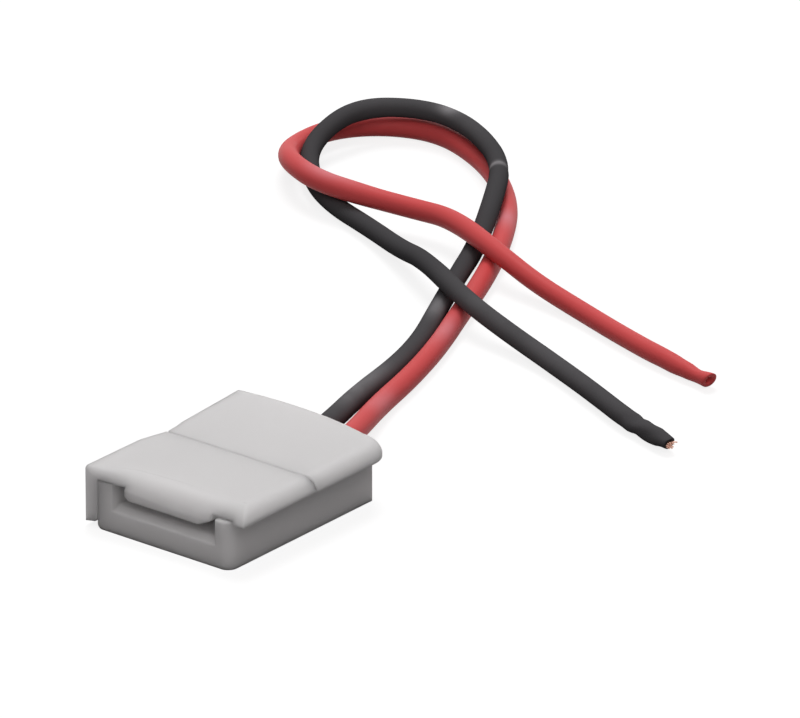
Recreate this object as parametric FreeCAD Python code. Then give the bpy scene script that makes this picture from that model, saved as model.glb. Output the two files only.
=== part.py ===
import FreeCAD, Part
import math
import os

# A snap connector for a 10 mm light strip with a black and a red lead.
# Millimetres, +Z up. The origin is on the floor, midway across the housing and under
# the seam between its two lids.
# The strip enters from the front (-Y) and the leads leave at the back (+Y).
# The two lids turn on the left side (-X) and are lifted by the lip on the right.

V = FreeCAD.Vector

# Light strip and the channel that takes it
strip_width = 10.0
strip_clearance = 0.15
strip_slot = 0.9
bed_height = 2.15

# Base moulding
wall = 1.45
base_height = 4.0
base_corner = 0.85
back_edge = 0.08
left_foot_round = 0.45
post_round = 0.1
front_length = 9.2
strip_depth = 10.2
stop_thickness = 0.6
stop_height = 0.4
chamber_length = 5.35
back_wall = 1.25
sill_depth = 0.8
sill_drop = 0.3
divider = 0.6
divider_top = 2.6

# Lids
lid_seat = 0.05
lid_thickness = 0.85
lid_side_gap = 0.08
skirt_thickness = 1.12
skirt_foot = 0.35
lip_reach = 1.2
lip_drop = 0.22
lip_nose = 0.25
lip_step = 0.07
front_shoulder = 1.75
rear_shoulder = 1.5
seam_gap = 0.05
seam_round = 0.16
crown = 0.03
back_crown = 0.2
front_rise = 0.05
back_rise = 0.2
waist_depth = 0.63
waist_front = 2.6
waist_back = 1.1
waist_back_depth = 0.56
flare_start = 1.9
flare_depth = 0.42
front_roll = 2.2
front_roll_drop = 1.95
front_roll_left = 0.3
front_roll_left_drop = 0.2
front_roll_turn = 3.8
front_roll_share = 0.85
back_overhang = 1.85
back_bow = 0.45
back_bow_right = 0.35
back_corner = 2.75
back_roll = 0.7
back_roll_drop = 0.14
back_roll_steps = 6
back_roll_growth = 3
rim_gap = 0.15
rim_over_wire = 0.2

# Pressing ribs under the lids
tongue_left = 4.0
tongue_right = 4.5
tongue_setback = 0.12
tongue_length = 2.4
left_relief = 0.4
left_relief_height = 0.25
right_relief = 1.15
right_relief_height = 0.55
press_rib = 0.8
press_rib_width = 7.2
press_gap = 0.08
tooth_clear = 0.3
clamp_clear = 0.2
clamp_rib = 1.0
clamp_rib_width = 5.2
clamp_gap = 0.1
latch_bump = 0.1
latch_width = 2.0
latch_height = 0.4
latch_gap = 0.05
latch_lift = 0.25
latch_tab = 0.7
latch_below_rim = 0.85

# Hinge bead along the left side
hinge_offset = 0.06
hinge_height = 0.55
bead_radius = 0.14
bead_gap = 0.05
bead_end = 0.95

# Leads
wire_diameter = 1.6
core_diameter = 0.72
wire_height = 2.2
wire_pitch = 2.9
wire_fit = 0.05
wire_tail = 2.65
wire_exit = 1.6
floor_gap = 0.02
strand_diameter = 0.2
strand_pitch = 0.22
strand_length = 0.6

# Contacts, bent from sheet
sheet = 0.2
crimp_fit = 0.02
crimp_seat = 0.04
insulation_crimp = 1.2
crimp_step = 0.6
crimp_margin = 0.7
crimp_mouth = 0.7
contact_pitch = 5.0
arm_clear = 0.57
arm_width = 1.7
shank_width = 0.9
arm_reach = 4.2
arm_rise = 0.3
rise_clear = 0.15
tooth_length = 0.7
tooth_drop = 0.25
fork_slot = 0.5
fork_length = 3.0
flare_length = 2.6
pocket_margin = 0.3
pocket_depth = 0.3

# How far a cutting solid runs past what it cuts, and a joined one into its carrier
past = 1.0
into = 0.1

# Sizes that follow from the ones above
channel = strip_width + 2 * strip_clearance
base_width = channel + 2 * wall
half_base = base_width / 2
half_channel = channel / 2
lid_left = -(half_base + lid_side_gap + skirt_thickness)
lid_right = half_base + lip_reach
front_y = -front_length
stop_y = front_y + strip_depth
chamber_front_y = stop_y + stop_thickness
chamber_back_y = chamber_front_y + chamber_length
base_back_y = chamber_back_y + back_wall
lid_back_y = base_back_y + back_overhang
back_left_y = lid_back_y - back_bow
corner_x = lid_right - back_corner
corner_y = lid_back_y - back_bow_right - back_corner
lid_under = base_height + lid_seat
lid_top = lid_under + lid_thickness
skirt_inner = -(half_base + lid_side_gap)
lip_inner = half_base + lid_side_gap
nose_top = lid_under - lip_drop + lip_nose
hinge_x = -(half_base + hinge_offset)
hinge_z = hinge_height
wire_radius = wire_diameter / 2
core_radius = core_diameter / 2
crimp_outer = wire_radius + crimp_fit + sheet
core_crimp_outer = core_radius + crimp_fit + sheet
chamber_floor = wire_height - crimp_outer - crimp_seat
insulation_start = chamber_back_y - wire_tail
core_crimp = chamber_length - wire_tail - crimp_step - crimp_margin
tongue_bottom = bed_height + strip_slot
arm_height = bed_height + arm_clear
arm_top = arm_height + sheet

# Routes of the leads along their middles, from the crimp to the bare end.
# They rest on the floor except at the exit and where one passes over another.
lay = wire_radius + floor_gap
over = 2.6
hump = 2.65
side = wire_pitch / 2

red_route = [
    (side, insulation_start, wire_height),
    (side, base_back_y + wire_exit, wire_height),
    (-0.9, 15.6, 1.5),
    (-3.4, 21.4, lay),
    (-4.9, 27.1, lay),
    (-7.0, 33.2, lay),
    (-9.7, 39.6, lay),
    (-12.7, 46.2, lay),
    (-16.0, 52.8, lay),
    (-20.3, 59.4, lay),
    (-25.9, 64.3, lay),
    (-31.6, 67.2, lay),
    (-35.4, 68.3, lay),
    (-38.5, 67.4, lay),
    (-40.8, 64.8, lay),
    (-42.1, 61.6, lay),
    (-42.5, 58.3, lay),
    (-41.2, 55.4, 1.2),
    (-38.2, 52.9, 2.1),
    (-34.1, 51.1, hump),
    (-28.9, 50.8, hump),
    (-24.6, 51.6, 2.3),
    (-20.2, 51.3, hump),
    (-12.7, 48.2, hump),
    (-8.1, 47.3, 1.5),
    (-2.6, 46.3, lay),
    (3.0, 44.4, lay),
    (8.5, 42.9, lay),
    (13.7, 41.75, lay),
]

black_route = [
    (-side, insulation_start, wire_height),
    (-side, base_back_y + wire_exit, wire_height),
    (-3.3, 15.6, 1.7),
    (-5.6, 21.4, lay),
    (-7.1, 27.3, lay),
    (-9.1, 33.3, lay),
    (-12.0, 40.0, lay),
    (-15.4, 46.5, lay),
    (-17.9, 52.0, lay),
    (-20.2, 57.1, 2.6),
    (-24.4, 63.6, over),
    (-30.0, 67.5, over),
    (-35.0, 68.9, over),
    (-38.5, 67.9, over),
    (-40.7, 65.1, over),
    (-40.9, 61.5, over),
    (-39.7, 57.7, 1.9),
    (-36.5, 54.0, 0.9),
    (-31.8, 50.8, lay),
    (-26.0, 48.6, lay),
    (-20.6, 45.9, 1.5),
    (-16.3, 43.4, hump),
    (-8.3, 38.9, hump),
    (-3.4, 37.7, 1.5),
    (2.6, 36.3, lay),
    (9.0, 33.6, lay),
    (14.4, 31.2, lay),
    (18.9, 29.8, lay),
]


def block(x0, x1, y0, y1, z0, z1):
    """Box between two corners."""
    return Part.makeBox(x1 - x0, y1 - y0, z1 - z0, V(x0, y0, z0))


def prism(points, direction):
    """Solid from a closed flat outline, pushed along a direction."""
    wire = Part.makePolygon(points + [points[0]])
    return Part.Face(wire).extrude(direction)


def edges_where(shape, test):
    """Edges whose middle point and direction pass a test."""
    found = []
    for edge in shape.Edges:
        if not isinstance(edge.Curve, Part.Line):
            continue
        start = edge.Vertexes[0].Point
        end = edge.Vertexes[-1].Point
        if test((start + end) * 0.5, (end - start).normalize()):
            found.append(edge)
    return found


def arc_through(a, b, c):
    """Edge of the arc from a over b to c."""
    return Part.Arc(a, b, c).toShape()


def line(a, b):
    """Straight edge from a to b."""
    return Part.LineSegment(a, b).toShape()


# Base


def base_block():
    """Outer block: round along the left foot and up the front right corner."""
    bend = left_foot_round * (1 - math.sqrt(0.5))
    foot_start = V(-half_base, front_y, left_foot_round)
    foot_mid = V(-half_base + bend, front_y, bend)
    foot_end = V(-half_base + left_foot_round, front_y, 0)
    low = V(half_base, front_y, 0)
    high = V(half_base, front_y, base_height)
    left = V(-half_base, front_y, base_height)
    edges = [
        arc_through(foot_start, foot_mid, foot_end),
        line(foot_end, low),
        line(low, high),
        line(high, left),
        line(left, foot_start),
    ]
    body = Part.Face(Part.Wire(edges)).extrude(V(0, base_back_y - front_y, 0))
    corner = edges_where(body, lambda mid, way: abs(way.z) > 0.9 and mid.x > 0 and mid.y < 0)
    body = body.makeFillet(base_corner, corner)
    corner = edges_where(body, lambda mid, way: abs(way.z) > 0.9 and mid.x > 0 and mid.y > 0)
    return body.makeFillet(back_edge, corner)


def strip_channel():
    """Open channel over the strip bed and the deeper chamber behind it."""
    above = base_height + past
    bed = block(-half_channel, half_channel, front_y - past, stop_y, bed_height, above)
    over_stop = block(-half_channel, half_channel, stop_y, chamber_front_y,
                      bed_height + stop_height, above)
    chamber = block(-half_channel, half_channel, chamber_front_y, chamber_back_y,
                    chamber_floor, above)
    return bed.fuse(over_stop).fuse(chamber)


def sill_cut():
    """Slope that leads the strip in over the front edge of its bed."""
    low = bed_height - sill_drop
    points = [
        V(-half_channel, front_y, low),
        V(-half_channel, front_y + sill_depth, bed_height),
        V(-half_channel, front_y + sill_depth, bed_height + into),
        V(-half_channel, front_y - past, bed_height + into),
        V(-half_channel, front_y - past, low),
    ]
    return prism(points, V(channel, 0, 0))


def tooth_pocket(x):
    """Recess in the bed under the teeth of one contact."""
    half = arm_width / 2 + pocket_margin
    back = tooth_y() + tooth_length + pocket_margin
    front = tooth_y() - pocket_margin
    return block(x - half, x + half, front, back, bed_height - pocket_depth, bed_height + past)


def wire_notch(x):
    """Slot through the back wall that a lead drops into."""
    radius = wire_radius + wire_fit
    y0 = chamber_back_y - past
    y1 = base_back_y + past
    round_part = Part.makeCylinder(radius, y1 - y0, V(x, y0, wire_height), V(0, 1, 0))
    open_part = block(x - radius, x + radius, y0, y1, wire_height, base_height + past)
    return round_part.fuse(open_part)


def latch_pocket(y):
    """Shallow pocket inside the right wall for one latch bump."""
    low = latch_z() - latch_gap
    high = latch_z() + latch_height + latch_lift
    half = latch_width / 2 + latch_gap
    return block(half_channel - past, half_channel + latch_bump, y - half, y + half, low, high)


def hinge_bead(y0, y1):
    """Half-round bead low on the left wall, which one lid turns on."""
    return Part.makeCylinder(bead_radius, y1 - y0, V(hinge_x, y0, hinge_z), V(0, 1, 0))


def base():
    """Base moulding: channel, chamber, back wall, divider and hinge beads."""
    body = base_block().cut(strip_channel())
    body = body.cut(sill_cut())
    for x in (-contact_pitch / 2, contact_pitch / 2):
        body = body.cut(tooth_pocket(x))
    for x in (-side, side):
        body = body.cut(wire_notch(x))
    for y in latch_places():
        body = body.cut(latch_pocket(y))
    rib = block(-divider / 2, divider / 2, chamber_front_y - into, chamber_back_y + into,
                chamber_floor - into, divider_top)
    body = body.fuse(rib)
    posts = edges_where(body, lambda mid, way: abs(way.x) > 0.9 and mid.y < front_y + into
                        and mid.z > base_height - into)
    body = body.makeFillet(post_round, posts)
    for y0, y1 in lid_spans():
        body = body.fuse(hinge_bead(y0 + bead_end, min(y1, base_back_y) - bead_end))
    return body.removeSplitter()


# Lids


def lid_spans():
    """Front and back ends of the front lid and the rear lid."""
    return [(front_y, -seam_gap / 2), (seam_gap / 2, lid_back_y)]


def latch_z():
    """Height of the lower side of the latch bumps."""
    return base_height - latch_below_rim


def latch_places():
    """One latch in the middle of each lid's share of the wall."""
    return [front_y / 2, base_back_y / 2]


def lid_section(y, right, shoulder, top, bulge):
    """Outline across a lid at y, with a slightly bulged top and a rolled right shoulder."""
    shoulder_x = right - shoulder
    drop = top - nose_top
    diagonal = math.sqrt(0.5)
    shoulder_mid = V(shoulder_x + shoulder * diagonal, y, top - drop * (1 - diagonal))
    foot_inner = V(skirt_inner, y, hinge_z)
    foot_outer = V(lid_left, y, skirt_foot)
    top_left = V(lid_left, y, top)
    top_mid = V((lid_left + shoulder_x) / 2, y, top + bulge)
    top_right = V(shoulder_x, y, top)
    corners = [
        V(right, y, nose_top),
        V(right, y, lid_under - lip_drop),
        V(lip_inner, y, lid_under - lip_drop),
        V(lip_inner, y, lid_under),
        V(skirt_inner, y, lid_under),
        foot_inner,
    ]
    edges = [
        line(foot_inner, foot_outer),
        line(foot_outer, top_left),
        arc_through(top_left, top_mid, top_right),
        arc_through(top_right, shoulder_mid, corners[0]),
    ]
    for start, end in zip(corners, corners[1:]):
        edges.append(line(start, end))
    return Part.Wire(edges)


def hinge_groove(y0, y1):
    """Room for the hinge bead in the foot of a skirt."""
    return Part.makeCylinder(bead_radius + bead_gap, y1 - y0 + 2 * past,
                             V(hinge_x, y0 - past, hinge_z), V(0, 1, 0))


def waist_cut():
    """What narrows both lids on the left where they meet, and flares the rear one."""
    low = skirt_foot - past
    places = [
        (-waist_front, 0),
        (0, waist_depth),
        (waist_back, waist_back_depth),
        (flare_start, flare_depth),
        (lid_back_y, 0),
        (lid_back_y, -past),
        (-waist_front, -past),
    ]
    points = [V(lid_left + depth, y, low) for y, depth in places]
    return prism(points, V(0, 0, lid_top + 2 * past - low))


def roll_section(foot, outward, width, drop, top):
    """Outline of what a rolled edge takes away, upright over a point of the outer face."""
    rest = 1 - math.sqrt(0.5)
    up = V(0, 0, 1)
    low = foot + up * (top - drop)
    mid = foot - outward * (width * rest) + up * (top - drop * rest)
    high = foot - outward * width + up * top
    outer_low = low + outward * past
    outer_high = foot + outward * past + up * (top + past)
    edges = [
        arc_through(low, mid, high),
        line(high, high + up * past),
        line(high + up * past, outer_high),
        line(outer_high, outer_low),
        line(outer_low, low),
    ]
    return Part.Wire(edges)


def loft_through(sections):
    """Solid through a row of outlines, straight from each to the next."""
    solid = None
    for start, end in zip(sections, sections[1:]):
        piece = Part.makeLoft([start, end], True, True)
        solid = piece if solid is None else solid.fuse(piece)
    return solid


def front_roll_cut():
    """The front of the lid is rolled off, and the roll fades out to the left corner."""
    top = lid_top + front_rise
    ahead = V(0, -1, 0)
    places = [
        (lid_left - into, front_roll_left, front_roll_left_drop),
        (lid_left + front_roll_turn, front_roll * front_roll_share,
         front_roll_drop * front_roll_share),
        (0, front_roll, front_roll_drop),
        (lid_right + past, front_roll, front_roll_drop),
    ]
    sections = []
    for x, width, drop in places:
        sections.append(roll_section(V(x, front_y, 0), ahead, width, drop, top))
    return loft_through(sections)


def seam_edges(body, y):
    """Top edges of a lid where it faces the other one."""
    found = []
    for edge in body.Edges:
        box = edge.BoundBox
        flat = box.YLength < 0.01 and abs(box.Center.y - y) < 0.01
        if flat and box.ZMin > lid_top - 0.01 and box.XLength > skirt_thickness:
            found.append(edge)
    return found


def press_block(y0, length, width, bottom):
    """Rib under a lid, between two walls of the channel."""
    return block(-width / 2, width / 2, y0, y0 + length, bottom, lid_under + into)


def tongue():
    """Rib that closes the mouth over the strip, cut off at its lower corners."""
    y = front_y + tongue_setback
    high = lid_under + into
    points = [
        V(-tongue_left, y, high),
        V(tongue_right, y, high),
        V(tongue_right, y, tongue_bottom + right_relief_height),
        V(tongue_right - right_relief, y, tongue_bottom),
        V(-tongue_left + left_relief, y, tongue_bottom),
        V(-tongue_left, y, tongue_bottom + left_relief_height),
    ]
    return prism(points, V(0, tongue_length, 0))


def latch(y):
    """Tab with a small bump that seats in the right wall."""
    inner = half_channel - latch_gap
    half = latch_width / 2
    tab = block(inner - latch_tab, inner, y - half, y + half, latch_z(), lid_under + into)
    bump = prism([
        V(inner - into, y - half, latch_z()),
        V(inner, y - half, latch_z()),
        V(inner + latch_bump, y - half, latch_z() + latch_height / 2),
        V(inner, y - half, latch_z() + latch_height),
        V(inner - into, y - half, latch_z() + latch_height),
    ], V(0, latch_width, 0))
    return tab.fuse(bump)


def front_lid():
    """Lid over the strip."""
    y0, y1 = lid_spans()[0]
    right = lid_right - lip_step
    body = Part.makeLoft([
        lid_section(y0, right, front_shoulder, lid_top + front_rise, crown),
        lid_section(y1, right, front_shoulder, lid_top, crown),
    ], True, True)
    body = body.cut(waist_cut())
    body = body.makeFillet(seam_round, seam_edges(body, y1))
    body = body.fuse(tongue())
    body = body.cut(front_roll_cut())
    body = body.cut(hinge_groove(y0, y1))
    body = body.fuse(press_block(tooth_y() + tooth_length + tooth_clear, press_rib,
                                 press_rib_width, arm_top + press_gap))
    body = body.fuse(latch(latch_places()[0]))
    return body.removeSplitter()


def back_arc():
    """Bowed back edge of the rear lid, from its left corner to its round corner."""
    left = V(lid_left, back_left_y, 0)
    right = V(corner_x, corner_y + back_corner, 0)
    return arc_through(left, V((left.x + right.x) / 2, lid_back_y, 0), right)


def rear_plan():
    """Outline of the rear lid from above, with its bowed back and round corner."""
    y0 = lid_spans()[1][0]
    reach = back_corner * math.sqrt(0.5)
    bow_left = V(lid_left, back_left_y, 0)
    bow_right = V(corner_x, corner_y + back_corner, 0)
    turn_end = V(lid_right, corner_y, 0)
    edges = [
        line(V(lid_left, y0, 0), V(lid_right, y0, 0)),
        line(V(lid_right, y0, 0), turn_end),
        arc_through(turn_end, V(corner_x + reach, corner_y + reach, 0), bow_right),
        back_arc(),
        line(bow_left, V(lid_left, y0, 0)),
    ]
    return Part.Face(Part.Wire(edges)).extrude(V(0, 0, lid_top + past))


def rear_top(y):
    """Height of the rear lid's top at its edges."""
    return lid_top + back_rise * y / lid_back_y


def back_roll_cut():
    """The back edge is rolled off more and more to the right, and on round the corner."""
    bow = back_arc()
    full_drop = rear_top(corner_y) - nose_top
    sections = []
    for step in range(back_roll_steps + 1):
        share = step / back_roll_steps
        foot = bow.valueAt(bow.FirstParameter + (bow.LastParameter - bow.FirstParameter) * share)
        if step == 0:
            foot = foot - V(into, 0, 0)
        width = back_roll + (rear_shoulder - back_roll) * share ** back_roll_growth
        drop = back_roll_drop + (full_drop - back_roll_drop) * share ** back_roll_growth
        top = rear_top(foot.y - width)
        sections.append(roll_section(foot, V(0, 1, 0), width, drop, top))
    corner = Part.Face(sections[-1])
    turned = corner.revolve(V(corner_x, corner_y, 0), V(0, 0, 1), -90)
    return loft_through(sections).fuse(turned)


def back_rim():
    """Edge of the rear lid that hangs down behind the base, over the leads."""
    bottom = wire_height + wire_radius + rim_over_wire
    return block(-half_base, half_base, base_back_y + rim_gap, lid_back_y, bottom,
                 lid_under + into)


def rear_lid():
    """Lid over the crimps and the leads."""
    y0 = lid_spans()[1][0]
    body = Part.makeLoft([
        lid_section(y0, lid_right, rear_shoulder, rear_top(y0), crown),
        lid_section(lid_back_y, lid_right, rear_shoulder, rear_top(lid_back_y), back_crown),
    ], True, True)
    body = body.fuse(back_rim()).common(rear_plan())
    body = body.cut(waist_cut())
    body = body.makeFillet(seam_round, seam_edges(body, y0))
    body = body.cut(back_roll_cut())
    body = body.cut(hinge_groove(y0, lid_back_y))
    body = body.fuse(press_block(stop_y + into, press_rib, press_rib_width, arm_top + press_gap))
    clamp_y = insulation_start + insulation_crimp + clamp_clear
    body = body.fuse(press_block(clamp_y, clamp_rib, clamp_rib_width,
                                 wire_height + wire_radius + clamp_gap))
    body = body.fuse(latch(latch_places()[1]))
    return body.removeSplitter()


# Contacts


def tooth_y():
    """Front end of a contact."""
    return stop_y - arm_reach - tooth_length


def barrel(inner, y0, length, x):
    """Sheet wrapped round a lead, open along the top where its ears meet."""
    outer = inner + sheet
    ring = Part.makeCylinder(outer, length, V(x, y0, wire_height), V(0, 1, 0))
    ring = ring.cut(Part.makeCylinder(inner, length + 2 * past, V(x, y0 - past, wire_height),
                                      V(0, 1, 0)))
    mouth = block(x - crimp_mouth * inner / 2, x + crimp_mouth * inner / 2, y0 - past,
                  y0 + length + past, wire_height, wire_height + outer + past)
    return ring.cut(mouth)


def bent_strip(points, x0, x1):
    """Sheet bent along a path in the YZ plane, from x0 to x1."""
    path = Part.makePolygon([V(x0, y, z) for y, z in points])
    face = path.makeOffset2D(sheet, 2, True, True)
    if face.BoundBox.ZMax < max(z for y, z in points) + sheet / 2:
        face = path.makeOffset2D(-sheet, 2, True, True)
    return face.extrude(V(x1 - x0, 0, 0))


def arm_plan(x_wire, x_pad):
    """Outline from above of shank, flare and fork."""
    half_shank = shank_width / 2
    half_arm = arm_width / 2
    flare_y = chamber_front_y
    arm_y = flare_y - flare_length
    tip = tooth_y() - into
    back = insulation_start + 2 * into
    points = [
        V(x_wire - half_shank, back, 0),
        V(x_wire - half_shank, flare_y, 0),
        V(x_pad - half_arm, arm_y, 0),
        V(x_pad - half_arm, tip, 0),
        V(x_pad + half_arm, tip, 0),
        V(x_pad + half_arm, arm_y, 0),
        V(x_wire + half_shank, flare_y, 0),
        V(x_wire + half_shank, back, 0),
    ]
    plan = prism(points, V(0, 0, base_height))
    fork = block(x_pad - fork_slot / 2, x_pad + fork_slot / 2, tip - past, tip + fork_length,
                 -past, base_height + past)
    return plan.cut(fork)


def contact(way):
    """One contact: two crimps, a shank that rises, and a forked arm with teeth."""
    x_wire = way * wire_pitch / 2
    x_pad = way * contact_pitch / 2
    core_y = insulation_start - crimp_step - core_crimp
    low = wire_height - crimp_outer
    shank_low = wire_height - core_crimp_outer
    rise_y = chamber_front_y + rise_clear
    tip = tooth_y()
    path = [
        (insulation_start + into, low),
        (insulation_start - into, low),
        (insulation_start - crimp_step, shank_low),
        (rise_y + arm_rise, shank_low),
        (rise_y, arm_height),
        (tip + tooth_length, arm_height),
        (tip + tooth_length / 2, arm_height - tooth_drop),
        (tip, arm_height),
    ]
    arm = bent_strip(path, min(x_wire, x_pad) - arm_width, max(x_wire, x_pad) + arm_width)
    arm = arm.common(arm_plan(x_wire, x_pad))
    body = arm.fuse(barrel(wire_radius + crimp_fit, insulation_start, insulation_crimp, x_wire))
    core = barrel(core_radius + crimp_fit, core_y, core_crimp, x_wire)
    body = body.cut(Part.makeCylinder(core_radius + crimp_fit, core_crimp + crimp_step + past,
                                      V(x_wire, core_y - past, wire_height), V(0, 1, 0)))
    return body.fuse(core).removeSplitter()


def crimped_core(way):
    """Bare end of the conductor inside its crimp."""
    core_y = insulation_start - crimp_step - core_crimp
    return Part.makeCylinder(core_radius, insulation_start - core_y - into,
                             V(way * wire_pitch / 2, core_y + into, wire_height), V(0, 1, 0))


# Leads


def turn_at(before, here, after):
    """Angle in radians by which a route turns at a point."""
    return (here - before).getAngle(after - here)


def arc_radius(before, here, after):
    """Radius of the arc at a point, as large as its two runs allow."""
    shorter = min((here - before).Length, (after - here).Length)
    return 0.45 * shorter / math.tan(turn_at(before, here, after) / 2)


def lead_path(points):
    """Straight runs joined by tangent arcs, as one wire."""
    edges = []
    last = points[0]
    for before, here, after in zip(points, points[1:], points[2:]):
        shorter = min((here - before).Length, (after - here).Length)
        to_start = (before - here).normalize() * (0.45 * shorter)
        to_end = (after - here).normalize() * (0.45 * shorter)
        radius = arc_radius(before, here, after)
        half = turn_at(before, here, after) / 2
        inward = (to_start + to_end).normalize()
        middle = here + inward * (radius / math.cos(half) - radius)
        edges.append(line(last, here + to_start))
        edges.append(arc_through(here + to_start, middle, here + to_end))
        last = here + to_end
    edges.append(line(last, points[-1]))
    return Part.Wire(edges)


def lead(route):
    """Insulation of one lead, from its crimp to its bare end."""
    points = [V(*point) for point in route]
    path = lead_path(points)
    ring = Part.Wire(Part.Circle(points[0], points[1] - points[0], wire_radius).toShape())
    tube = path.makePipeShell([ring], True, True)
    return tube, path.Length, points


def bare_strands(route):
    """Seven copper strands that stick out of the black lead."""
    end = V(*route[-1])
    way = (end - V(*route[-2])).normalize()
    across = V(-way.y, way.x, 0)
    up = V(0, 0, 1)
    places = [V(0, 0, 0)]
    for step in range(6):
        angle = math.radians(60 * step)
        places.append(across * (strand_pitch * math.cos(angle)) + up * (strand_pitch * math.sin(angle)))
    strands = []
    for place in places:
        strands.append(Part.makeCylinder(strand_diameter / 2, strand_length, end + place, way))
    return Part.makeCompound(strands)


def report_lead(name, tube, length, points):
    """Print what the lead measures."""
    radii = [arc_radius(*trio) for trio in zip(points, points[1:], points[2:])]
    whole = math.pi * wire_radius ** 2 * length
    print(name, "length", round(length, 1), "volume over section times length",
          round(tube.Volume / whole, 4))
    print(name, "radii", " ".join("%.1f" % radius for radius in radii))


def main():
    os.makedirs("parts", exist_ok=True)
    black_tube, black_length, black_points = lead(black_route)
    red_tube, red_length, red_points = lead(red_route)
    report_lead("black lead", black_tube, black_length, black_points)
    report_lead("red lead", red_tube, red_length, red_points)
    parts = {
        "base": base(),
        "front_lid": front_lid(),
        "rear_lid": rear_lid(),
        "black_contact": contact(-1),
        "red_contact": contact(1),
        "black_crimped_core": crimped_core(-1),
        "red_crimped_core": crimped_core(1),
        "black_lead": black_tube,
        "red_lead": red_tube,
        "black_bare_strands": bare_strands(black_route),
    }
    for name, shape in parts.items():
        shape.exportStep("parts/" + name + ".step")


main()
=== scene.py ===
import math

import bmesh
import bpy
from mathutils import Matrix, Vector


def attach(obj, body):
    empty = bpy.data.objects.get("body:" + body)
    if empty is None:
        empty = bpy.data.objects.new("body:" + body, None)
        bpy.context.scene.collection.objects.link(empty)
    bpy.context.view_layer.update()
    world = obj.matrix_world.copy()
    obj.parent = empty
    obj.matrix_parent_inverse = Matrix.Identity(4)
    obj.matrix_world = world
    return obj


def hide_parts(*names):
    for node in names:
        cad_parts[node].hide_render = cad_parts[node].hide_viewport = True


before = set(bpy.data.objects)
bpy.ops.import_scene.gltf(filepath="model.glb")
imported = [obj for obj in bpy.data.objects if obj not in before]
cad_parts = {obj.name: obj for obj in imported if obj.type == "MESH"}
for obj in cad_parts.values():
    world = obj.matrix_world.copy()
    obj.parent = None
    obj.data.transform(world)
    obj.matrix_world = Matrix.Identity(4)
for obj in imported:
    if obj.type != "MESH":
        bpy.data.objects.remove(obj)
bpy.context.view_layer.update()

MM = 0.001

# Camera in metres and degrees, fitted to the photograph

CAMERA_PLACE = (0.588853, -0.711744, 0.409695)
CAMERA_AZIMUTH = 38.832861
CAMERA_ELEVATION = 23.247449
LENS_MM = 587.7
SENSOR_MM = 36
NEAREST = 0.05
FARTHEST = 10

# Lamps, world and floor, in metres

LAMP_AIM = (-0.01, 0.03, 0)
OVERHEAD_PLACE = (-0.17, 0.22, 0.56)
OVERHEAD_SIZE = 0.3
OVERHEAD_POWER = 1.82
FILL_PLACE = (0.29, -0.35, 0.49)
FILL_SIZE = 0.4
FILL_POWER = 0.85
WORLD_COLOUR = (1.0, 0.95, 0.955)
WORLD_STRENGTH = 0.28
FLOOR_HALF = 1.2
FLOOR_DROP = 0.02 * MM
FLOOR_COLOUR = (0.16, 0.16, 0.16)
FLOOR_GLOW = 1.15
FLOOR_GLOW_SHARE = 0.72

# Colours

WHITE = (0.79, 0.78, 0.78)
RED = (0.73, 0.088, 0.09)
# Pale pink of the red lead's scuffs and of its painted sheen
RED_SCUFF_AND_SHEEN = (0.8, 0.27, 0.3)
BLACK = (0.08, 0.078, 0.082)
# Grey of the black lead's scuffs and of its painted sheen
BLACK_SCUFF_AND_SHEEN = (0.34, 0.33, 0.34)
TIN = (0.62, 0.60, 0.57)
COPPER = (0.60, 0.36, 0.28)

# Depth of the fine grain in plastic and insulation

GRAIN_HEIGHT = 0.02 * MM

# Tubes of the leads

WIRE_RADIUS = 0.8 * MM
WIRE_SIDES = 28
WIRE_STEP = 0.35 * MM
SPLINE_STEPS = 16

# Heights of a lead's middle in its route, in millimetres: on the floor, across another lead,
# and at the points of a hump

LAY = 0.88
OVER = 2.75
HUMP = 2.65

# Routes of the leads in millimetres: the points of the part's source, moved in steps of 0.1 mm
# towards a fit to the photograph

RED_ROUTE = [
    (1.45, 4.3, 2.2),
    (1.45, 9.8, 2.2),
    (-0.9, 15.6, 1.5),
    (-3.4, 21.4, LAY),
    (-4.9, 27.1, LAY),
    (-7.0, 33.2, LAY),
    (-9.8, 39.5, LAY),
    (-12.7, 46.2, LAY),
    (-16.1, 52.8, LAY),
    (-20.4, 59.4, LAY),
    (-25.9, 64.5, LAY),
    (-31.5, 67.5, LAY),
    (-35.4, 68.4, LAY),
    (-38.7, 67.5, LAY),
    (-41.1, 65.2, 1.0),
    (-42.1, 62.0, 1.25),
    (-41.9, 58.5, 1.4),
    (-40.4, 55.2, 2.0),
    (-37.6, 52.3, OVER),
    (-33.6, 50.7, OVER),
    (-28.5, 50.8, HUMP),
    (-24.2, 51.8, 2.3),
    (-20.0, 51.5, HUMP),
    (-12.7, 48.2, HUMP),
    (-8.1, 47.3, 1.5),
    (-2.6, 46.2, LAY),
    (3.0, 44.3, LAY),
    (8.5, 42.7, LAY),
    (13.7, 41.75, LAY),
]

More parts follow.
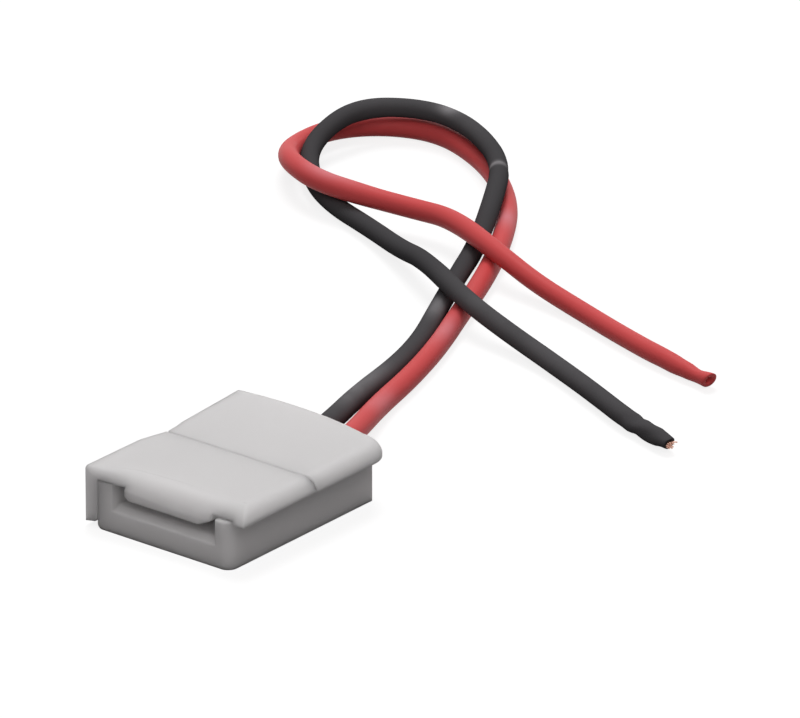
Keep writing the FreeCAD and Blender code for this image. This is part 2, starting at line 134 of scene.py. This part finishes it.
BLACK_ROUTE = [
    (-1.45, 4.3, 2.2),
    (-1.45, 9.8, 2.2),
    (-3.3, 15.6, 1.7),
    (-5.8, 21.5, LAY),
    (-7.0, 27.3, LAY),
    (-8.8, 33.2, LAY),
    (-11.9, 39.5, LAY),
    (-15.0, 45.9, LAY),
    (-17.4, 51.2, LAY),
    (-19.7, 56.2, 2.6),
    (-23.8, 62.7, OVER),
    (-29.4, 66.8, OVER),
    (-34.1, 68.4, OVER),
    (-37.6, 67.6, 2.8),
    (-39.9, 65.2, 2.95),
    (-40.4, 61.6, 2.95),
    (-40.2, 57.7, 1.6),
    (-37.1, 54.2, 0.9),
    (-32.5, 51.1, LAY),
    (-26.5, 49.0, LAY),
    (-21.0, 46.0, 1.5),
    (-16.5, 43.4, HUMP),
    (-8.4, 38.8, HUMP),
    (-3.3, 37.9, 1.5),
    (2.6, 36.3, LAY),
    (9.0, 33.5, LAY),
    (14.4, 31.0, LAY),
    (18.9, 29.8, LAY),
]

# Radius of a lead as a share of the wire's. A nip is given by the distance to the cut end in
# millimetres, and a fuller place by the distance from the crimp.

RED_NIP = ((0.0, 0.86), (1.3, 0.72), (2.6, 0.85), (4.6, 0.97), (7.0, 1.0))
RED_FULLER = (
    (6.5, 0.0), (10.0, 0.12), (20.0, 0.11), (27.0, 0.08), (90.0, 0.08), (98.0, 0.1),
    (102.0, 0.14), (106.0, 0.14), (110.0, 0.07), (114.0, 0.07), (118.5, 0.08), (126.0, 0.0),
)
RED_OVAL = 0.05
RED_OVAL_TURN = 0.6
RED_OVAL_FADES = ((0.0, 1.0), (4.0, 0.0))
BLACK_NIP = (
    (0.0, 0.68), (0.5, 0.78), (1.4, 0.93), (3.2, 0.9), (4.0, 0.82), (4.7, 0.98), (7.0, 1.0),
)
BLACK_FULLER = (
    (6.5, 0.0), (10.0, 0.1), (20.0, 0.09), (27.0, 0.0), (42.0, 0.0), (48.0, 0.04), (54.0, 0.04),
    (61.2, 0.03), (62.2, -0.03), (63.2, 0.0), (79.0, 0.0), (82.5, 0.05), (86.0, 0.0),
    (118.0, 0.0), (122.0, 0.05), (126.0, 0.0),
)

# Ridges of the black lead's crushed end: each has a depth, a count round the lead and a twist
# per millimetre

BLACK_RIDGES = ((0.05, 3, 1.7), (0.04, 2, -0.9))
BLACK_CRUSH_FADES = ((0.0, 1.0), (4.5, 1.0), (6.5, 0.0))

# How far a lead's end rises, by the distance to the cut end, both in millimetres

RED_BEND = ((0.0, -0.08), (1.3, -0.17), (3.0, -0.09), (6.0, 0.0))
BLACK_BEND = (
    (0.0, -0.04), (1.0, 0.02), (3.4, 0.0), (4.1, -0.06), (5.6, 0.05), (12.0, 0.05), (18.0, 0.0),
)

# Cut ends in millimetres: how far the cut leans, how deep the middle of its dent is, and the
# rings between its rim and that middle, each with its share of the radius and its depth

RED_SLANT = 0.3
RED_HOLLOW = 0.5
BLACK_SLANT = 0.22
BLACK_HOLLOW = 0.3
CUT_LENGTH = 1
CUT_RINGS = ((0.94, -0.05), (0.62, -0.03), (0.4, 0.1))
CUT_MIDDLE = 0.3

# Scuffs and painted sheen: pale marks, mostly on the upward side where light falls. Each has a
# distance from the crimp, a reach in millimetres and an angle round the lead

SCUFF_AND_SHEEN_STRENGTH = 1.3
SCUFF_AND_SHEEN_MOST = 1.5
# The red lead's pale marks: scuffs, and painted sheen on its upper side
RED_SCUFFS_AND_SHEEN = ((17.0, 2.2, 1.0), (32.5, 2.6, 1.4), (56.0, 2.0, 1.4), (104.0, 3.0, 1.6))
# The black lead's grey marks: scuffs, and painted sheen on its upper side
BLACK_SCUFFS_AND_SHEEN = (
    (18.0, 4.0, 1.6), (62.2, 0.35, 1.2), (62.2, 0.35, 2.4), (74.5, 1.0, 1.5), (36.0, 2.0, 1.3),
)
# Stretches of the black lead painted paler as sheen, each with a distance from the crimp and a
# strength
BLACK_SHEEN_STRETCHES = (
    (10.0, 0.1), (30.0, 0.1), (40.0, 0.0), (65.0, 0.0), (72.0, 0.12), (80.0, 0.12),
    (88.0, 0.0), (118.0, 0.0), (130.0, 0.25), (142.0, 0.25), (150.0, 0.1),
)

# Copper strands in millimetres: rings of the bundle with their count and reach, how low the
# bundle sits, where a strand starts inside the lead, and how far it comes out

STRAND_RADIUS = 0.06 * MM
STRAND_SIDES = 8
BUNDLE = ((1, 0.0), (6, 0.13), (9, 0.25))
BUNDLE_DROP = 0.14
STRAND_INSIDE = 0.45
STRAND_OUT = 0.24
STRAND_UNEVEN = 0.1
STRAND_LEAN = 0.05
STRAND_RISE = 0.04

# Angles from one strand to the next that keep their ends uneven

OUT_BY_STRAND = 7.0
OUT_BY_REACH = 31.0
LEAN_BY_STRAND = 3.0
RISE_BY_STRAND = 5.0

# The one long strand: its place in the cut, its middle and end ahead of it, and the end's lean

LONG_ACROSS = 0.2
LONG_UP = 0.1
LONG_MIDDLE = 0.15
LONG_OUT = 0.5
LONG_LEAN = 0.25
LONG_RISE = 0.02


def make_camera():
    """Camera at the photograph's place, looking along its fitted angles."""
    data = bpy.data.cameras.new("camera")
    data.sensor_width = SENSOR_MM
    data.lens = LENS_MM
    data.clip_start = NEAREST
    data.clip_end = FARTHEST
    camera = bpy.data.objects.new("camera", data)
    camera.location = CAMERA_PLACE
    camera.rotation_euler = (math.radians(90 - CAMERA_ELEVATION), 0, math.radians(CAMERA_AZIMUTH))
    bpy.context.collection.objects.link(camera)
    bpy.context.scene.camera = camera


def spline_points(name, route):
    """Points along the smooth line of a route, as Blender gives them."""
    curve = bpy.data.curves.new(name + "_line", "CURVE")
    curve.dimensions = "3D"
    curve.resolution_u = SPLINE_STEPS
    spline = curve.splines.new("NURBS")
    spline.points.add(len(route) - 1)
    for point, place in zip(spline.points, route):
        point.co = [value * MM for value in place] + [1]
    spline.order_u = 3
    spline.use_endpoint_u = True
    holder = bpy.data.objects.new(name + "_line", curve)
    bpy.context.collection.objects.link(holder)
    mesh = bpy.data.meshes.new_from_object(holder)
    points = [vertex.co.copy() for vertex in mesh.vertices]
    bpy.data.objects.remove(holder)
    bpy.data.curves.remove(curve)
    bpy.data.meshes.remove(mesh)
    return points


def even_points(points, step):
    """The same line in even steps."""
    placed = [points[0].copy()]
    left = step
    for start, end in zip(points, points[1:]):
        run = (end - start).length
        while run > 0 and left <= run:
            start = start + (end - start) * (left / run)
            placed.append(start.copy())
            run = (end - start).length
            left = step
        left -= run
    placed.append(points[-1].copy())
    return placed


def line_length(points):
    """Length of a line of points."""
    return sum((end - start).length for start, end in zip(points, points[1:]))


def carried_frames(points):
    """Direction, side and up at each point, carried along without twisting."""
    frames = []
    side = None
    for index, here in enumerate(points):
        before = points[max(index - 1, 0)]
        after = points[min(index + 1, len(points) - 1)]
        way = (after - before).normalized()
        if side is None:
            side = way.cross(Vector((0, 0, 1))).normalized()
        side = (side - way * side.dot(way)).normalized()
        frames.append((here, way, side, side.cross(way)))
    return frames


def between(table, at):
    """Value of a table at a distance, eased between its entries."""
    if at <= table[0][0]:
        return table[0][1]
    for (low, first), (high, second) in zip(table, table[1:]):
        if at <= high:
            share = (at - low) / (high - low)
            share = share * share * (3 - 2 * share)
            return first + (second - first) * share
    return table[-1][1]


def angles_round(count):
    """Even angles round a circle."""
    return [2 * math.pi * step / count for step in range(count)]


def bridge(shape, rings):
    """Smooth faces from each ring of corners to the next."""
    for first, second in zip(rings, rings[1:]):
        for step in range(len(first)):
            after = (step + 1) % len(first)
            face = shape.faces.new((first[step], first[after], second[after], second[step]))
            face.smooth = True


def finished_piece(name, shape):
    """Piece with the mesh of a finished shape."""
    bmesh.ops.recalc_face_normals(shape, faces=shape.faces)
    mesh = bpy.data.meshes.new(name)
    shape.to_mesh(mesh)
    shape.free()
    piece = bpy.data.objects.new(name, mesh)
    bpy.context.collection.objects.link(piece)
    return piece


def cap(shape, wear_and_sheen, ring, here, way, hollow):
    """Close a ring with a cut face that has a dent where the conductor sits."""
    rings = [ring]
    for share, depth in CUT_RINGS + ((CUT_MIDDLE, hollow),):
        inner = []
        for vertex in ring:
            place = here + (vertex.co - here) * share - way * (depth * MM)
            added = shape.verts.new(place)
            added[wear_and_sheen] = 0.0
            inner.append(added)
        rings.append(inner)
    bridge(shape, rings)
    shape.faces.new(rings[-1])


def tube(name, points, radius_at, shift_at, wear_and_sheen_at, slant, hollow):
    """Round tube along points, shaped by distance from its ends and by angle round it."""
    shape = bmesh.new()
    wear_and_sheen = shape.verts.layers.float.new("wear_and_sheen")
    total = line_length(points)
    along = 0.0
    rings = []
    previous = points[0]
    for here, way, side, up in carried_frames(points):
        along += (here - previous).length
        previous = here
        left = (total - along) / MM
        middle = here + up * (shift_at(left) * MM)
        lean = slant * max(CUT_LENGTH - left, 0.0)
        ring = []
        for angle in angles_round(WIRE_SIDES):
            radius = radius_at(along / MM, left, angle)
            place = middle + side * (radius * math.cos(angle)) + up * (radius * math.sin(angle))
            vertex = shape.verts.new(place + way * (lean * math.sin(angle) * MM))
            # Strength of the scuffs and painted sheen at this corner
            vertex[wear_and_sheen] = wear_and_sheen_at(along / MM, angle)
            ring.append(vertex)
        rings.append(ring)
    bridge(shape, rings)
    shape.faces.new(rings[0][::-1])
    cap(shape, wear_and_sheen, rings[-1], middle, way, hollow)
    return finished_piece(name, shape)


def scuffs_and_sheen_at(scuffs, along, angle):
    """Strength of the scuffs and painted sheen at a place."""
    total = 0.0
    for at, reach, turn in scuffs:
        near = math.exp(-((along - at) / reach) ** 2)
        facing = max(math.cos(angle - turn), 0.0) ** 2
        total += SCUFF_AND_SHEEN_STRENGTH * near * facing
    return min(total, SCUFF_AND_SHEEN_MOST)


def red_radius(along, left, angle):
    """Red lead: nipped by the cutter near its end, and flared at the cut."""
    oval = RED_OVAL * math.sin(2 * angle + RED_OVAL_TURN) * between(RED_OVAL_FADES, left)
    return WIRE_RADIUS * (between(RED_NIP, left) + between(RED_FULLER, along) + oval)


def red_shift(left):
    """How far the nipped end of the red lead rises, or sinks below zero."""
    return between(RED_BEND, left)


def red_wear_and_sheen(along, angle):
    """Pale scuffs and painted sheen on the red lead."""
    return scuffs_and_sheen_at(RED_SCUFFS_AND_SHEEN, along, angle)


def black_radius(along, left, angle):
    """Black lead: fuller at the housing, kinked and crushed near its bare end."""
    size = between(BLACK_NIP, left) + between(BLACK_FULLER, along)
    ridges = sum(depth * math.sin(count * angle + twist * left)
                 for depth, count, twist in BLACK_RIDGES)
    return WIRE_RADIUS * (size + between(BLACK_CRUSH_FADES, left) * ridges)


def black_shift(left):
    """How far the kinked end of the black lead rises, or sinks below zero."""
    return between(BLACK_BEND, left)


def black_wear_and_sheen(along, angle):
    """Stretches of painted sheen, and grey scuffs with painted sheen, on the black lead."""
    return between(BLACK_SHEEN_STRETCHES, along) + scuffs_and_sheen_at(BLACK_SCUFFS_AND_SHEEN, along, angle)


def strand_paths(end, way):
    """Paths of the copper strands at the bare end: a short cut bundle and one long strand."""
    across = Vector((-way.y, way.x, 0))
    up = Vector((0, 0, 1))
    inside = way * STRAND_INSIDE
    paths = []
    for count, reach in BUNDLE:
        for step in range(count):
            angle = 2 * math.pi * step / count + reach
            height = reach * math.sin(angle) - BUNDLE_DROP
            spot = across * (reach * math.cos(angle)) + up * height
            uneven = math.sin(OUT_BY_STRAND * step + OUT_BY_REACH * reach)
            out = STRAND_OUT + STRAND_UNEVEN * uneven
            lean = across * (STRAND_LEAN * math.sin(LEAN_BY_STRAND * step))
            rise = up * (STRAND_RISE * math.cos(RISE_BY_STRAND * step))
            tip = spot + way * out + (lean + rise)
            paths.append([end + (spot - inside) * MM, end + spot * MM, end + tip * MM])
    spot = across * LONG_ACROSS + up * LONG_UP
    middle = spot + way * LONG_MIDDLE
    tip = spot + way * LONG_OUT + across * LONG_LEAN + up * LONG_RISE
    paths.append([end + (spot - inside) * MM, end + middle * MM, end + tip * MM])
    return paths


def strands(end, way):
    """Bare copper strands as one piece."""
    shape = bmesh.new()
    for path in strand_paths(end, way):
        rings = []
        for here, _, side, up in carried_frames(path):
            ring = []
            for angle in angles_round(STRAND_SIDES):
                spot = side * math.cos(angle) + up * math.sin(angle)
                ring.append(shape.verts.new(here + spot * STRAND_RADIUS))
            rings.append(ring)
        bridge(shape, rings)
        shape.faces.new(rings[0][::-1])
        shape.faces.new(rings[-1])
    return finished_piece("bare_strands_skin", shape)


def new_material(name):
    """Material with its nodes, its links and its main shader."""
    material = bpy.data.materials.new(name)
    material.use_nodes = True
    nodes = material.node_tree.nodes
    return material, nodes, material.node_tree.links, nodes["Principled BSDF"]


def noise_output(nodes, links, scale, detail=2):
    """Noise that is fixed to the piece."""
    coords = nodes.new("ShaderNodeTexCoord")
    noise = nodes.new("ShaderNodeTexNoise")
    noise.inputs["Scale"].default_value = scale
    noise.inputs["Detail"].default_value = detail
    links.new(coords.outputs["Object"], noise.inputs["Vector"])
    return noise.outputs["Fac"]


def vary_roughness(nodes, links, shader, noise, low, high):
    """Let noise move the roughness between two values."""
    rough = nodes.new("ShaderNodeMapRange")
    rough.inputs["To Min"].default_value = low
    rough.inputs["To Max"].default_value = high
    links.new(noise, rough.inputs["Value"])
    links.new(rough.outputs["Result"], shader.inputs["Roughness"])


def add_grain(nodes, links, shader, noise, strength):
    """Let noise roughen the surface slightly, and give the bump's node back."""
    bump = nodes.new("ShaderNodeBump")
    bump.inputs["Strength"].default_value = strength
    bump.inputs["Distance"].default_value = GRAIN_HEIGHT
    links.new(noise, bump.inputs["Height"])
    links.new(bump.outputs["Normal"], shader.inputs["Normal"])
    return bump


def white_plastic():
    """Matte moulded plastic with softened edges."""
    material, nodes, links, shader = new_material("white_plastic")
    shader.inputs["Base Color"].default_value = WHITE + (1,)
    shader.inputs["Roughness"].default_value = 0.55
    shader.inputs["Specular IOR Level"].default_value = 0.3
    shader.inputs["Subsurface Weight"].default_value = 1.0
    shader.inputs["Subsurface Radius"].default_value = (1.0, 1.0, 1.0)
    shader.inputs["Subsurface Scale"].default_value = 2.8 * MM
    bevel = nodes.new("ShaderNodeBevel")
    bevel.samples = 6
    bevel.inputs["Radius"].default_value = 0.28 * MM
    grain = noise_output(nodes, links, scale=9000, detail=3)
    bump = add_grain(nodes, links, shader, grain, strength=0.12)
    links.new(bevel.outputs["Normal"], bump.inputs["Normal"])
    return material


def insulation(name, colour, scuff_and_sheen_colour, roughness, gloss):
    """Soft insulation, paler where it is worn and where sheen is painted."""
    material, nodes, links, shader = new_material(name)
    shader.inputs["Specular IOR Level"].default_value = gloss
    patches = noise_output(nodes, links, scale=220, detail=4)
    # Pale colour where the scuffs and painted sheen are, by their strength times noise
    wear_and_sheen = nodes.new("ShaderNodeAttribute")
    wear_and_sheen.attribute_name = "wear_and_sheen"
    amount = nodes.new("ShaderNodeMath")
    amount.operation = "MULTIPLY"
    links.new(patches, amount.inputs[0])
    links.new(wear_and_sheen.outputs["Fac"], amount.inputs[1])
    mix = nodes.new("ShaderNodeMix")
    mix.data_type = "RGBA"
    mix.inputs["A"].default_value = colour + (1,)
    mix.inputs["B"].default_value = scuff_and_sheen_colour + (1,)
    links.new(amount.outputs[0], mix.inputs["Factor"])
    links.new(mix.outputs["Result"], shader.inputs["Base Color"])
    vary_roughness(nodes, links, shader, patches, roughness - 0.06, roughness + 0.08)
    grain = noise_output(nodes, links, scale=2500)
    add_grain(nodes, links, shader, grain, strength=0.15)
    return material


def metal(name, colour, roughness):
    """Bare metal with a slightly uneven shine."""
    material, nodes, links, shader = new_material(name)
    shader.inputs["Base Color"].default_value = colour + (1,)
    shader.inputs["Metallic"].default_value = 1.0
    noise = noise_output(nodes, links, scale=3000)
    vary_roughness(nodes, links, shader, noise, roughness - 0.08, roughness + 0.12)
    return material


def put_on(piece, material):
    """Give a piece one material."""
    piece.data.materials.clear()
    piece.data.materials.append(material)


def make_strands(copper):
    """Strands at the end of the black lead, in place of the CAD ones."""
    end = Vector(BLACK_ROUTE[-1][:2] + (LAY,)) * MM
    before = Vector(BLACK_ROUTE[-2][:2] + (LAY,)) * MM
    piece = strands(end, (end - before).normalized())
    put_on(piece, copper)
    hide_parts("black_bare_strands")
    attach(piece, "housing")
    return piece


def make_lead(name, route, material, shaping):
    """One lead as a smooth tube in place of the CAD one."""
    points = even_points(spline_points(name, route), WIRE_STEP)
    piece = tube(name + "_skin", points, *shaping)
    put_on(piece, material)
    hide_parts(name)
    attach(piece, "housing")


def make_leads(copper):
    """Both leads, and the strands at the end of the black one."""
    red = insulation("red_insulation", RED, RED_SCUFF_AND_SHEEN, roughness=0.5, gloss=0.15)
    black = insulation("black_insulation", BLACK, BLACK_SCUFF_AND_SHEEN, roughness=0.5, gloss=0.0)
    tips = make_strands(copper)
    make_lead("red_lead", RED_ROUTE, red,
              (red_radius, red_shift, red_wear_and_sheen, RED_SLANT, RED_HOLLOW))
    make_lead("black_lead", BLACK_ROUTE, black,
              (black_radius, black_shift, black_wear_and_sheen, BLACK_SLANT, BLACK_HOLLOW))


def dress_frame(copper):
    """Materials of the CAD nodes that show."""
    plastic = white_plastic()
    tin = metal("tinned_metal", TIN, roughness=0.35)
    for name in ("base", "front_lid", "rear_lid"):
        put_on(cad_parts[name], plastic)
    for name in ("black_contact", "red_contact"):
        put_on(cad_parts[name], tin)
    for name in ("black_crimped_core", "red_crimped_core"):
        put_on(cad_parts[name], copper)


def white_to_rays(nodes, links):
    """One where the camera looks, straight, mirrored or through, and else zero."""
    paths = nodes.new("ShaderNodeLightPath")
    mirrored = nodes.new("ShaderNodeMath")
    mirrored.operation = "MAXIMUM"
    links.new(paths.outputs["Is Glossy Ray"], mirrored.inputs[0])
    links.new(paths.outputs["Is Transmission Ray"], mirrored.inputs[1])
    seen = nodes.new("ShaderNodeMath")
    seen.operation = "MAXIMUM"
    links.new(paths.outputs["Is Camera Ray"], seen.inputs[0])
    links.new(mirrored.outputs[0], seen.inputs[1])
    return seen.outputs[0]


def floor_material():
    """Surface that the camera sees nearly white, and that lights little."""
    material, nodes, links, shader = new_material("floor_white")
    nodes.remove(shader)
    dull = nodes.new("ShaderNodeBsdfDiffuse")
    dull.inputs["Color"].default_value = FLOOR_COLOUR + (1,)
    white = nodes.new("ShaderNodeBsdfDiffuse")
    white.inputs["Color"].default_value = (1, 1, 1, 1)
    glow = nodes.new("ShaderNodeEmission")
    glow.inputs["Strength"].default_value = FLOOR_GLOW
    both = nodes.new("ShaderNodeMixShader")
    both.inputs["Fac"].default_value = FLOOR_GLOW_SHARE
    links.new(white.outputs[0], both.inputs[1])
    links.new(glow.outputs[0], both.inputs[2])
    pick = nodes.new("ShaderNodeMixShader")
    links.new(white_to_rays(nodes, links), pick.inputs["Fac"])
    links.new(dull.outputs[0], pick.inputs[1])
    links.new(both.outputs[0], pick.inputs[2])
    links.new(pick.outputs[0], nodes["Material Output"].inputs["Surface"])
    return material


def make_floor():
    """Plain pale floor under the part."""
    mesh = bpy.data.meshes.new("floor")
    signs = ((-1, -1), (1, -1), (1, 1), (-1, 1))
    corners = [(x * FLOOR_HALF, y * FLOOR_HALF, 0) for x, y in signs]
    mesh.from_pydata(corners, [], [(0, 1, 2, 3)])
    floor = bpy.data.objects.new("floor", mesh)
    floor.location.z = -FLOOR_DROP
    bpy.context.collection.objects.link(floor)
    put_on(floor, floor_material())


def area_light(name, place, size, power):
    """Square soft light at a place, turned to the part."""
    data = bpy.data.lights.new(name, "AREA")
    data.size = size
    data.energy = power
    light = bpy.data.objects.new(name, data)
    light.location = place
    towards = Vector(LAMP_AIM) - Vector(place)
    light.rotation_euler = towards.to_track_quat("-Z", "Y").to_euler()
    bpy.context.collection.objects.link(light)


def make_world():
    """Dim world that the camera sees white."""
    world = bpy.data.worlds.new("world")
    world.use_nodes = True
    bpy.context.scene.world = world
    nodes = world.node_tree.nodes
    links = world.node_tree.links
    dim = nodes["Background"]
    dim.inputs["Color"].default_value = WORLD_COLOUR + (1,)
    dim.inputs["Strength"].default_value = WORLD_STRENGTH
    white = nodes.new("ShaderNodeBackground")
    white.inputs["Color"].default_value = (1, 1, 1, 1)
    white.inputs["Strength"].default_value = 1.0
    pick = nodes.new("ShaderNodeMixShader")
    links.new(white_to_rays(nodes, links), pick.inputs["Fac"])
    links.new(dim.outputs[0], pick.inputs[1])
    links.new(white.outputs[0], pick.inputs[2])
    links.new(pick.outputs[0], nodes["World Output"].inputs["Surface"])


make_camera()
copper = metal("bare_copper", COPPER, roughness=0.42)
make_leads(copper)
dress_frame(copper)
make_floor()
area_light("overhead", OVERHEAD_PLACE, OVERHEAD_SIZE, OVERHEAD_POWER)
area_light("fill", FILL_PLACE, FILL_SIZE, FILL_POWER)
make_world()
bpy.context.scene.view_settings.view_transform = "Standard"
